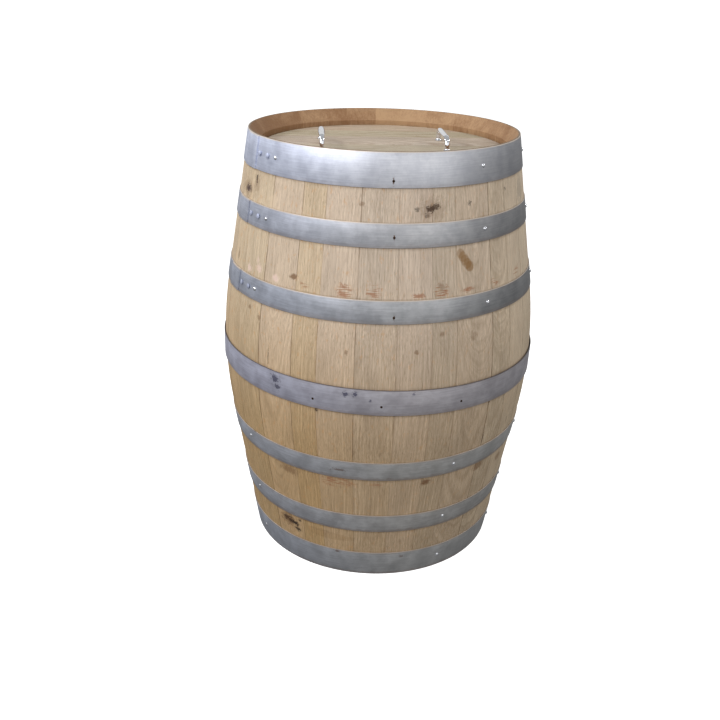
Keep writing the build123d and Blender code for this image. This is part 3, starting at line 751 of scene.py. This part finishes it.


# light and dark tone, rust, shine and how much of the brightness the painted shade leaves at the right
HOOP_TONES = {
    "hoop_head_top": ((226, 227, 232), (196, 198, 206), 0.12, 0.38, 0.45),
    "hoop_quarter_top": ((206, 206, 208), (172, 173, 177), 0.20, 0.40, 0.50),
    "hoop_bilge_top": ((198, 199, 201), (164, 165, 168), 0.22, 0.40, 0.52),
    "hoop_belly": ((206, 203, 208), (174, 170, 176), 0.22, 0.50, 0.80),
    "hoop_bilge_bottom": ((208, 207, 206), (174, 173, 171), 0.40, 0.42, 0.85),
    "hoop_quarter_bottom": ((206, 205, 203), (172, 170, 168), 0.40, 0.42, 0.78),
    "hoop_head_bottom": ((200, 200, 200), (168, 168, 168), 0.40, 0.42, 0.80),
}
zinc = {}
for node_name, (light, dark, rust, shine, right_shade_level) in HOOP_TONES.items():
    (_, _, low), (_, _, high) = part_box(node_name)
    tilt = 0.0
    if node_name == "hoop_belly":
        low, high, tilt = BELLY_MIDDLE - BELLY_HALF, BELLY_MIDDLE + BELLY_HALF, BELLY_TILT
    stains = HOOP_STAINS.get(node_name, ())
    title = node_name.replace("_", " ")
    tones = colour(*light), colour(*dark)
    zinc[node_name] = zinc_finish(title, low, high, *tones, rust, tilt, shine, stains, right_shade_level)
    dress(node_name, zinc[node_name])
dress("hoop_rivets", zinc_finish("rivet steel", 0.0, 1.0, colour(214, 217, 228), colour(186, 189, 200), 0.0))
print("dressed", len(HOOP_TONES), "hoops and their rivets")

# %% [markdown]
# Bright parts and dark parts finish the hardware. Chrome is a nearly perfect mirror, so nearly all that
# it needs is something to reflect; a trace of noise in its roughness keeps it from looking computed. The
# nails are plain iron, brown-black with age. The hidden screws are zinc plated.

# %% Finish for handles, screws and nails
def metal_finish(name, light, dark, rough_low, rough_high, grain, depth):
    material, tree, shader = finish_with(name)
    place = add(tree, "TexCoord").outputs["Object"]
    cloud = noise(tree, place, grain, 4.0, 0.6)
    feed(tree, shader.inputs["Base Color"], blend(tree, span(tree, cloud, 0.35, 0.65), dark, light))
    shader.inputs["Metallic"].default_value = 1.0
    feed(tree, shader.inputs["Roughness"], span(tree, cloud, 0.3, 0.7, rough_low, rough_high))
    bump(tree, shader, cloud, 0.2, depth)
    return material


chrome = metal_finish("handle chrome", colour(238, 240, 244), colour(222, 224, 230), 0.05, 0.12, 60.0, 0.0001)
nail_iron = metal_finish("nail iron", colour(88, 70, 58), colour(46, 36, 32), 0.5, 0.75, 900.0, 0.0003)
plated = metal_finish("screw plating", colour(206, 204, 198), colour(168, 166, 160), 0.22, 0.36, 500.0,
                      0.0002)
for node_name in ("handle_left", "handle_right", "hoop_screws"):
    dress(node_name, chrome)
dress("hoop_nails", nail_iron)
for node_name in ("cleat_screws", "batten_screws", "handle_screws"):
    dress(node_name, plated)
print("dressed the handles, screws and nails")

# %% [markdown]
# The measured hoops are sharp-cornered bands, but rolled strip has soft edges that catch a thin line of
# light. A hoop could be a cylinder with a Solidify modifier. Spinning its section is better, because the
# section can have its corners rounded first and then runs all the way round in one go. The lapped end is
# the same section moved out by one thickness, spun only as far as the lap is long, and closed at its ends.

# %% Tools for spinning a section
STRIP_THICKNESS, STRIP_EASE = 0.0018, 0.00045


def enter(mode):
    bpy.ops.object.mode_set(mode=mode)


def select_whole():
    bpy.ops.mesh.select_all(action="SELECT")


def bake_place():
    bpy.ops.object.transform_apply(location=True, rotation=True, scale=True)


def start_piece(kind, stretch=(1, 1, 1), **settings):
    """Add a primitive by itself, write its size into its mesh, and enter edit mode."""
    bpy.ops.object.select_all(action="DESELECT")
    getattr(bpy.ops.mesh, "primitive_" + kind + "_add")(**settings)
    piece = bpy.context.object
    piece.scale = stretch
    bake_place()
    enter("EDIT")
    return piece


def select_points(piece, test):
    """Select, in edit mode, the points that pass a test of their place."""
    enter("OBJECT")
    for part in (piece.data.vertices, piece.data.edges, piece.data.polygons):
        part.foreach_set("select", [False] * len(part))
    for point in piece.data.vertices:
        point.select = test(point.co)
    enter("EDIT")
    bpy.ops.mesh.select_mode(type="VERT")


def spun_strip(name, radius, slope, low, width, arc, first, steps):
    """Spin a strip's rounded section about the barrel's axis, from the angle first, through arc."""
    piece = start_piece("plane", (STRIP_THICKNESS, width, 1), size=1.0, rotation=(math.pi / 2, 0, 0),
                        location=(radius + STRIP_THICKNESS / 2, 0, low + width / 2))
    piece.name = name
    select_points(piece, lambda at: at.z > low + width / 2)
    bpy.ops.transform.translate(value=(slope * width, 0, 0))
    select_whole()
    bpy.ops.mesh.bevel(offset=STRIP_EASE, segments=2, affect="VERTICES")
    bpy.ops.mesh.delete(type="ONLY_FACE")
    select_whole()
    bpy.ops.mesh.spin(steps=steps, angle=arc, center=(0, 0, 0), axis=(0, 0, 1))
    select_whole()
    bpy.ops.mesh.remove_doubles(threshold=0.00002)
    bpy.ops.mesh.fill_holes(sides=0)
    bpy.ops.mesh.normals_make_consistent(inside=False)
    enter("OBJECT")
    piece.rotation_euler = (0, 0, first - math.pi / 2)
    bpy.ops.object.transform_apply(location=False, rotation=True, scale=False)
    return piece


def pick_only(pieces):
    """Select these pieces and no others, the first of them active."""
    bpy.ops.object.select_all(action="DESELECT")
    for piece in pieces:
        piece.select_set(True)
    bpy.context.view_layer.objects.active = pieces[0]


def join_pieces(pieces):
    pick_only(pieces)
    bpy.ops.object.join()
    return pieces[0]


def smooth(piece, degrees=35):
    pick_only([piece])
    bpy.ops.object.shade_smooth_by_angle(angle=math.radians(degrees))


def box_of(piece):
    places = [point.co for point in piece.data.vertices]
    return [[pick(place[i] for place in places) for i in range(3)] for pick in (min, max)]


def place_for(piece, body, node_name, material):
    """Ride a body, hide the solid it stands for and wear a finish."""
    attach(piece, body)
    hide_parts(node_name)
    piece.data.materials.clear()
    piece.data.materials.append(material)


print("strip", STRIP_THICKNESS * 1000, "mm thick with corners eased by", STRIP_EASE * 1000, "mm")

# %% [markdown]
# The barrel's outside is an arc in the middle and a straight cone towards each end, so a hoop's radius
# and slope follow from its height. Each hoop is spun, given its lap, and the belly hoop alone is tipped,
# because it has worked loose and hangs lower on the right.

# %% Hoops
TAPER, BEND_HALF = math.radians(9.29), 0.150
BEND_RADIUS = BEND_HALF / math.sin(TAPER)
HOOP_GAP, BELLY_GAP = 0.0001, 0.0012
LAP_LENGTH, HOOP_STEPS, LAP_STEPS = 0.056, 240, 10
# lower edge, width and the angle of the lap's middle in degrees
HOOP_PLACES = {
    "hoop_head_bottom": (0.0005, 0.0645, 141), "hoop_quarter_bottom": (0.129, 0.046, 144),
    "hoop_bilge_bottom": (0.2745, 0.0455, 147), "hoop_belly": (BELLY_MIDDLE - BELLY_HALF, 0.056, 150),
    "hoop_bilge_top": (0.630, 0.0455, -55.3), "hoop_quarter_top": (0.775, 0.046, -54.4),
    "hoop_head_top": (0.885, 0.0645, -53),
}


def outside_radius(z):
    away = abs(z - HEIGHT / 2)
    bent = min(away, BEND_HALF)
    arc = BILGE_RADIUS - BEND_RADIUS + math.sqrt(BEND_RADIUS**2 - bent**2)
    return arc - max(away - BEND_HALF, 0) * math.tan(TAPER)


def outside_slope(z):
    away = max(-BEND_HALF, min(BEND_HALF, z - HEIGHT / 2))
    return -away / math.sqrt(BEND_RADIUS**2 - away**2)


for node_name, (low, width, lap) in HOOP_PLACES.items():
    middle = low + width / 2
    slope = outside_slope(middle)
    gap = BELLY_GAP if node_name == "hoop_belly" else HOOP_GAP
    inner = outside_radius(middle) - slope * width / 2 + gap
    ring = spun_strip("strip_" + node_name[5:], inner, slope, low, width, 2 * math.pi, 0.0, HOOP_STEPS)
    lap_arc = LAP_LENGTH / outside_radius(middle)
    lap_end = spun_strip("lap", inner + STRIP_THICKNESS, slope, low, width, lap_arc,
                         math.radians(lap) - lap_arc / 2, LAP_STEPS)
    hoop = join_pieces([ring, lap_end])
    if node_name == "hoop_belly":
        lift = Matrix.Translation((0, 0, middle))
        hoop.matrix_world = lift @ Matrix.Rotation(BELLY_TILT, 4, "Y") @ lift.inverted()
        bake_place()
    smooth(hoop)
    place_for(hoop, "barrel", node_name, zinc[node_name])
    print(node_name, "spun", rounded(box_of(hoop)), "measured", rounded(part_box(node_name)))

# %% [markdown]
# A pull handle is a cast bow: a round foot, a short leg, a quarter turn, and a grip that is widest and
# flattest in the middle. Half of it is drawn from one ring of points, extruded up the leg, spun through
# the bend and extruded along the grip, with the ring resized at each step. A Mirror modifier adds the
# other half and a Subdivision Surface rounds it all. That keeps the flow of a casting, which joined
# cylinders would lose.

# %% Handles
HANDLE_HALF, HANDLE_HEIGHT, HANDLE_BEND = 0.064, 0.030, 0.017
LEG_WIDE, LEG_DEEP, FOOT_RADIUS = 0.0105, 0.0080, 0.0080
HANDLE_OFF, HANDLE_SPREAD = (-0.0043, -0.016), 0.2595
LID_TOP = HEIGHT - 0.035
# rise, width and depth of each ring of the foot and leg, from the plane of the lid upwards
LEG_RINGS = ((0.0012, 0.0158, 0.0158), (0.0010, 0.0128, 0.0112), (0.0016, LEG_WIDE, LEG_DEEP),
             (0.0052, LEG_WIDE, LEG_DEEP))
# step along the grip, and how much wider and flatter the bar is after it
GRIP_RINGS = ((0.014, 1.14, 0.94), (0.015, 1.07, 0.96), (0.018, 1.03, 0.98))


def extrude_ring(move, stretch, centre):
    bpy.ops.mesh.extrude_region_move(TRANSFORM_OT_translate={"value": move})
    bpy.ops.transform.resize(value=stretch, center_override=centre)


def bow_handle(name):
    """Chrome bow with its feet on the plane z = 0 and its legs in line along Y."""
    piece = start_piece("circle", vertices=16, radius=FOOT_RADIUS, fill_type="NOTHING")
    piece.name = name
    select_whole()
    bpy.ops.transform.translate(value=(0, -HANDLE_HALF, 0))
    height = 0.0
    wide, deep = 2 * FOOT_RADIUS, 2 * FOOT_RADIUS
    for rise, next_wide, next_deep in LEG_RINGS:
        height += rise
        extrude_ring((0, 0, rise), (next_wide / wide, next_deep / deep, 1), (0, -HANDLE_HALF, height))
        wide, deep = next_wide, next_deep
    bend_centre = (0, -HANDLE_HALF + HANDLE_BEND, height)
    bpy.ops.mesh.spin(steps=5, angle=math.pi / 2, center=bend_centre, axis=(1, 0, 0))
    along, top = -HANDLE_HALF + HANDLE_BEND, height + HANDLE_BEND
    bpy.ops.transform.resize(value=(1.18, 1, 0.96), center_override=(0, along, top))
    for step, stretch, flatten in GRIP_RINGS:
        along += step
        extrude_ring((0, step, 0), (stretch, 1, flatten), (0, along, top))
    enter("OBJECT")
    mirror = piece.modifiers.new("other half", "MIRROR")
    mirror.use_axis = (False, True, False)
    mirror.merge_threshold = 0.0003
    bpy.ops.object.modifier_apply(modifier=mirror.name)
    enter("EDIT")
    select_whole()
    bpy.ops.mesh.fill_holes(sides=0)
    bpy.ops.mesh.normals_make_consistent(inside=False)
    enter("OBJECT")
    rounding = piece.modifiers.new("rounding", "SUBSURF")
    rounding.levels = rounding.render_levels = 2
    bpy.ops.object.modifier_apply(modifier=rounding.name)
    return piece


for hand, side in (("left", -1), ("right", 1)):
    handle = bow_handle("bow_" + hand)
    across = HANDLE_OFF[0] + side * HANDLE_SPREAD / 2
    seat = Matrix.Translation((across, HANDLE_OFF[1], LID_TOP))
    handle.matrix_world = Matrix.Rotation(math.radians(LID_TURN), 4, "Z") @ seat
    bake_place()
    smooth(handle, 60)
    place_for(handle, "lid", "handle_" + hand, chrome)
    print("handle_" + hand, "made", rounded(box_of(handle)), "measured", rounded(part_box("handle_" + hand)))

# %% [markdown]
# The barrel stands on a plain white floor that runs out to a white surround. The floor must look white
# without throwing light back up the staves, which grow darker towards the foot, so floor and surround
# glow a little by themselves and are hidden from diffuse bounces.

# %% Floor and surround
def pale_finish(name, glow):
    material, _, shader = finish_with(name)
    for name, value in (("Base Color", (0.9, 0.9, 0.9, 1)), ("Roughness", 0.9), ("Specular IOR Level", 0.0),
                        ("Emission Color", (1, 1, 1, 1)), ("Emission Strength", glow)):
        shader.inputs[name].default_value = value
    return material


bpy.ops.object.select_all(action="DESELECT")
bpy.ops.mesh.primitive_circle_add(vertices=96, radius=60, fill_type="NGON", location=(0, 0, 0))
floor = bpy.context.object
floor.name = "floor"
floor.data.materials.append(pale_finish("floor white", 0.8))
floor.visible_diffuse = False
floor.visible_glossy = False
bpy.ops.mesh.primitive_uv_sphere_add(segments=64, ring_count=32, radius=59)
surround = bpy.context.object
surround.name = "surround"
surround.data.materials.append(pale_finish("surround white", 1.0))
surround.visible_diffuse = False
surround.visible_glossy = False
surround.visible_shadow = False
print("floor is", round(floor.dimensions.x), "m across")

# %% [markdown]
# One large soft lamp high in front on the left does most of the work, and a wide weak one in front on the
# right keeps that side readable. Both are near enough for their light to fall off down the barrel. Two
# small lamps high at the sides draw out its left and right edges, and a long weak strip behind it lays a
# sheen on the handles and the lid. The sky is a grey gradient, brighter above than below, which also
# gives the chrome something to mirror.

# %% Light
def soft_lamp(name, place, target, power, width, depth):
    """White rectangular lamp aimed at a target; power in watts, sizes in metres."""
    data = bpy.data.lights.new(name, "AREA")
    data.shape, data.size, data.size_y = "RECTANGLE", width, depth
    data.energy = power
    lamp = bpy.data.objects.new(name, data)
    lamp.location = place
    lamp.visible_camera = False
    lamp.rotation_euler = (Vector(target) - Vector(place)).to_track_quat("-Z", "Y").to_euler()
    bpy.context.scene.collection.objects.link(lamp)
    return lamp


lamps = [
    soft_lamp("key lamp", (-1.25, -1.4, 2.05), (0, 0, 0.8), 32, 2.1, 1.4),
    soft_lamp("right lamp", (1.2, -1.75, 1.3), (0, 0, 0.4), 9, 2.0, 1.8),
    soft_lamp("side lamp left", (-1.65, 0.65, 1.87), (0, 0, 0.92), 11, 0.25, 0.25),
    soft_lamp("side lamp right", (1.70, 0.30, 1.95), (0, 0, 0.92), 7, 0.25, 0.25),
    soft_lamp("back strip", (0.1, 2.6, 1.6), (0, 0, 0.92), 2.6, 3.0, 0.8),
]
SKY_TOP, SKY_FOOT = 0.46, 0.20
world = bpy.data.worlds.new("studio")
bpy.context.scene.world = world
world.use_nodes = True
sky = world.node_tree
_, _, aim = parted(sky, add(sky, "TexCoord").outputs["Generated"])
level = span(sky, aim, -0.6, 0.5, SKY_FOOT, SKY_TOP)
feed(sky, sky.nodes["Background"].inputs["Color"], joined(sky, *[level] * 3))
bpy.context.scene.view_settings.view_transform = "Standard"
print(len(lamps), "lamps,", sum(lamp.data.energy for lamp in lamps), "W in all")
